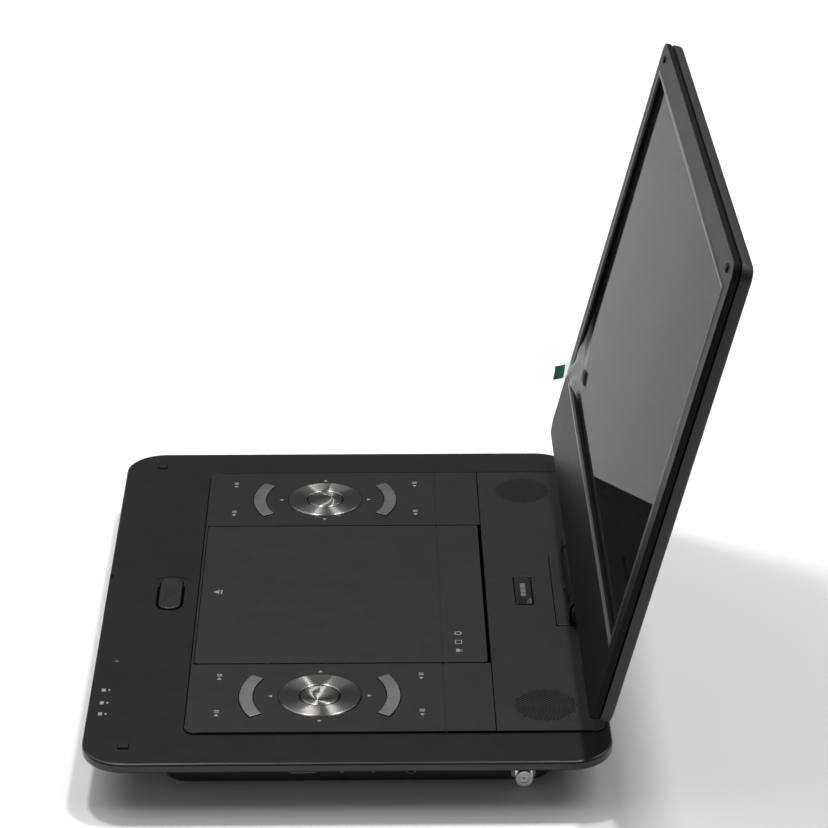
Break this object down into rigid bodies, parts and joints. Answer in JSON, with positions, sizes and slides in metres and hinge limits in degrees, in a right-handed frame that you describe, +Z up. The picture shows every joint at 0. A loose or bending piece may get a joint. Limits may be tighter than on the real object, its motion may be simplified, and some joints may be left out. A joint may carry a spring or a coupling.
{
  "type": "portable dvd player",
  "caption": "portable disc player with a swivelling flip-up screen, a hinged disc lid, round spun-metal control rings and side jacks",
  "frame": {"origin": "centre of the footprint on the resting surface, under the feet", "axes": "X along the width, + toward the side with the jacks; Y from the finger notch at the front toward the screen hinge; Z up"},
  "size_m": [0.385, 0.345, 0.3082],
  "materials": {
    "satin_black": "moulded black plastic with a fine satin texture",
    "gloss_black": "polished black plastic",
    "matt_black": "matt moulded black plastic",
    "spun_metal": "dark anodised, spun in circles",
    "chrome": "bright plated",
    "plain_steel": "plain turned or pressed steel",
    "rubber": "soft matt rubber",
    "display_glass": "dark display panel with a smooth face",
    "circuit_board": "green solder mask",
    "grey_plastic": "plain moulded grey plastic",
    "clear_film": "thin clear protective film"
  },
  "bodies": {
    "base": {"top_cover": "satin_black", "rim_pad_right": "rubber", "rim_pad_left": "rubber", "lower_case": "matt_black", "battery_door": "matt_black", "foot_1": "rubber", "foot_2": "rubber", "foot_3": "rubber", "foot_4": "rubber", "control_panel": "satin_black", "speaker_panel": "satin_black", "hinge_plate": "satin_black", "disc_bay": "matt_black", "drive_frame": "plain_steel", "spindle_motor": "plain_steel", "guide_rod_front": "plain_steel", "guide_rod_rear": "plain_steel", "sled_motor": "plain_steel", "main_board": "circuit_board", "key_board_right": "circuit_board", "key_board_left": "circuit_board", "battery_pack": "gloss_black", "speaker_right": "matt_black", "speaker_left": "matt_black", "card_slot": "matt_black", "usb_port": "plain_steel", "av_jack": "matt_black", "phones_jack": "matt_black", "dc_jack": "matt_black", "antenna_jack": "chrome", "rim_tray": "satin_black", "swivel_bracket": "plain_steel"},
    "swivel": {"hinge_tower": "satin_black", "swivel_post": "plain_steel"},
    "screen": {"tilt_pin_right": "plain_steel", "tilt_pin_left": "plain_steel", "screen_bezel": "satin_black", "face_pad_right": "rubber", "face_pad_left": "rubber", "screen_back": "satin_black", "display_frame": "matt_black", "display_glass": "display_glass", "screen_film": "clear_film"},
    "disc_lid": {"disc_lid": "satin_black"},
    "open_button": {"open_button": "satin_black"},
    "lid_latch": {"lid_latch": "grey_plastic"},
    "disc_hub": {"disc_hub": "matt_black"},
    "pickup": {"pickup": "grey_plastic"},
    "lead_screw": {"lead_screw": "plain_steel"},
    "ring_right": {"ring_right": "spun_metal"},
    "ring_left": {"ring_left": "spun_metal"},
    "centre_button_right": {"centre_button_right": "spun_metal"},
    "centre_button_left": {"centre_button_left": "spun_metal"},
    "arc_button_right_front": {"arc_button_right_front": "spun_metal"},
    "arc_button_right_rear": {"arc_button_right_rear": "spun_metal"},
    "arc_button_left_front": {"arc_button_left_front": "spun_metal"},
    "arc_button_left_rear": {"arc_button_left_rear": "spun_metal"},
    "mode_button": {"mode_button": "gloss_black"},
    "power_switch": {"power_switch": "gloss_black"},
    "volume_wheel": {"volume_wheel": "matt_black"}
  },
  "joints": [
    {"name": "screen_swivel", "type": "hinge", "parent": "base", "child": "swivel", "pos_m": [0, 0.10051, 0.0314], "axis": [0, 0, 1], "range_deg": [-90, 180]},
    {"name": "screen_tilt", "type": "hinge", "parent": "swivel", "child": "screen", "pos_m": [0, 0.10351, 0.0395], "axis": [1, 0, 0], "range_deg": [-76, 104]},
    {"name": "lid_open", "type": "hinge", "parent": "base", "child": "disc_lid", "pos_m": [0, 0.04691, 0.0284], "axis": [-1, 0, 0], "range_deg": [0, 60]},
    {"name": "open_press", "type": "hinge", "parent": "base", "child": "open_button", "pos_m": [-0.0188, -0.13499, 0.028], "axis": [0, 1, 0], "range_deg": [0, 3], "stiffness_Nm_per_rad": 0.12, "springref_deg": -2.86},
    {"name": "latch_slide", "type": "slide", "parent": "base", "child": "lid_latch", "axis": [0, -1, 0], "range_m": [0, 0.0016]},
    {"name": "hub_spin", "type": "hinge", "parent": "base", "child": "disc_hub", "pos_m": [0, -0.03449, 0.02], "axis": [0, 0, 1], "continuous": true},
    {"name": "pickup_slide", "type": "slide", "parent": "base", "child": "pickup", "axis": [1, 0, 0], "range_m": [0, 0.03]},
    {"name": "screw_turn", "type": "hinge", "parent": "base", "child": "lead_screw", "pos_m": [0.05, -0.01049, 0.0129], "axis": [1, 0, 0], "range_deg": [0, 3620]},
    {"name": "ring_right_press", "type": "slide", "parent": "base", "child": "ring_right", "axis": [0, 0, -1], "range_m": [0, 0.0005], "stiffness_N_per_m": 600, "springref_m": -0.0005},
    {"name": "ring_left_press", "type": "slide", "parent": "base", "child": "ring_left", "axis": [0, 0, -1], "range_m": [0, 0.0005], "stiffness_N_per_m": 600, "springref_m": -0.0005},
    {"name": "centre_button_right_press", "type": "slide", "parent": "base", "child": "centre_button_right", "axis": [0, 0, -1], "range_m": [0, 0.0005], "stiffness_N_per_m": 600, "springref_m": -0.0005},
    {"name": "centre_button_left_press", "type": "slide", "parent": "base", "child": "centre_button_left", "axis": [0, 0, -1], "range_m": [0, 0.0005], "stiffness_N_per_m": 600, "springref_m": -0.0005},
    {"name": "arc_button_right_front_press", "type": "slide", "parent": "base", "child": "arc_button_right_front", "axis": [0, 0, -1], "range_m": [0, 0.0005], "stiffness_N_per_m": 600, "springref_m": -0.0005},
    {"name": "arc_button_right_rear_press", "type": "slide", "parent": "base", "child": "arc_button_right_rear", "axis": [0, 0, -1], "range_m": [0, 0.0005], "stiffness_N_per_m": 600, "springref_m": -0.0005},
    {"name": "arc_button_left_front_press", "type": "slide", "parent": "base", "child": "arc_button_left_front", "axis": [0, 0, -1], "range_m": [0, 0.0005], "stiffness_N_per_m": 600, "springref_m": -0.0005},
    {"name": "arc_button_left_rear_press", "type": "slide", "parent": "base", "child": "arc_button_left_rear", "axis": [0, 0, -1], "range_m": [0, 0.0005], "stiffness_N_per_m": 600, "springref_m": -0.0005},
    {"name": "mode_button_press", "type": "slide", "parent": "base", "child": "mode_button", "axis": [0, 0, -1], "range_m": [0, 0.0005], "stiffness_N_per_m": 600, "springref_m": -0.0005},
    {"name": "power_slide", "type": "slide", "parent": "base", "child": "power_switch", "axis": [0, 1, 0], "range_m": [0, 0.006]},
    {"name": "volume_turn", "type": "hinge", "parent": "base", "child": "volume_wheel", "pos_m": [0.1616, 0.02751, 0.013], "axis": [0, 0, 1], "range_deg": [0, 270]}
  ],
  "couplings": [
    {"joint": "latch_slide", "follows": "open_press", "m_per_rad": 0.028648},
    {"joint": "screw_turn", "follows": "pickup_slide", "rad_per_m": 2094.4}
  ]
}
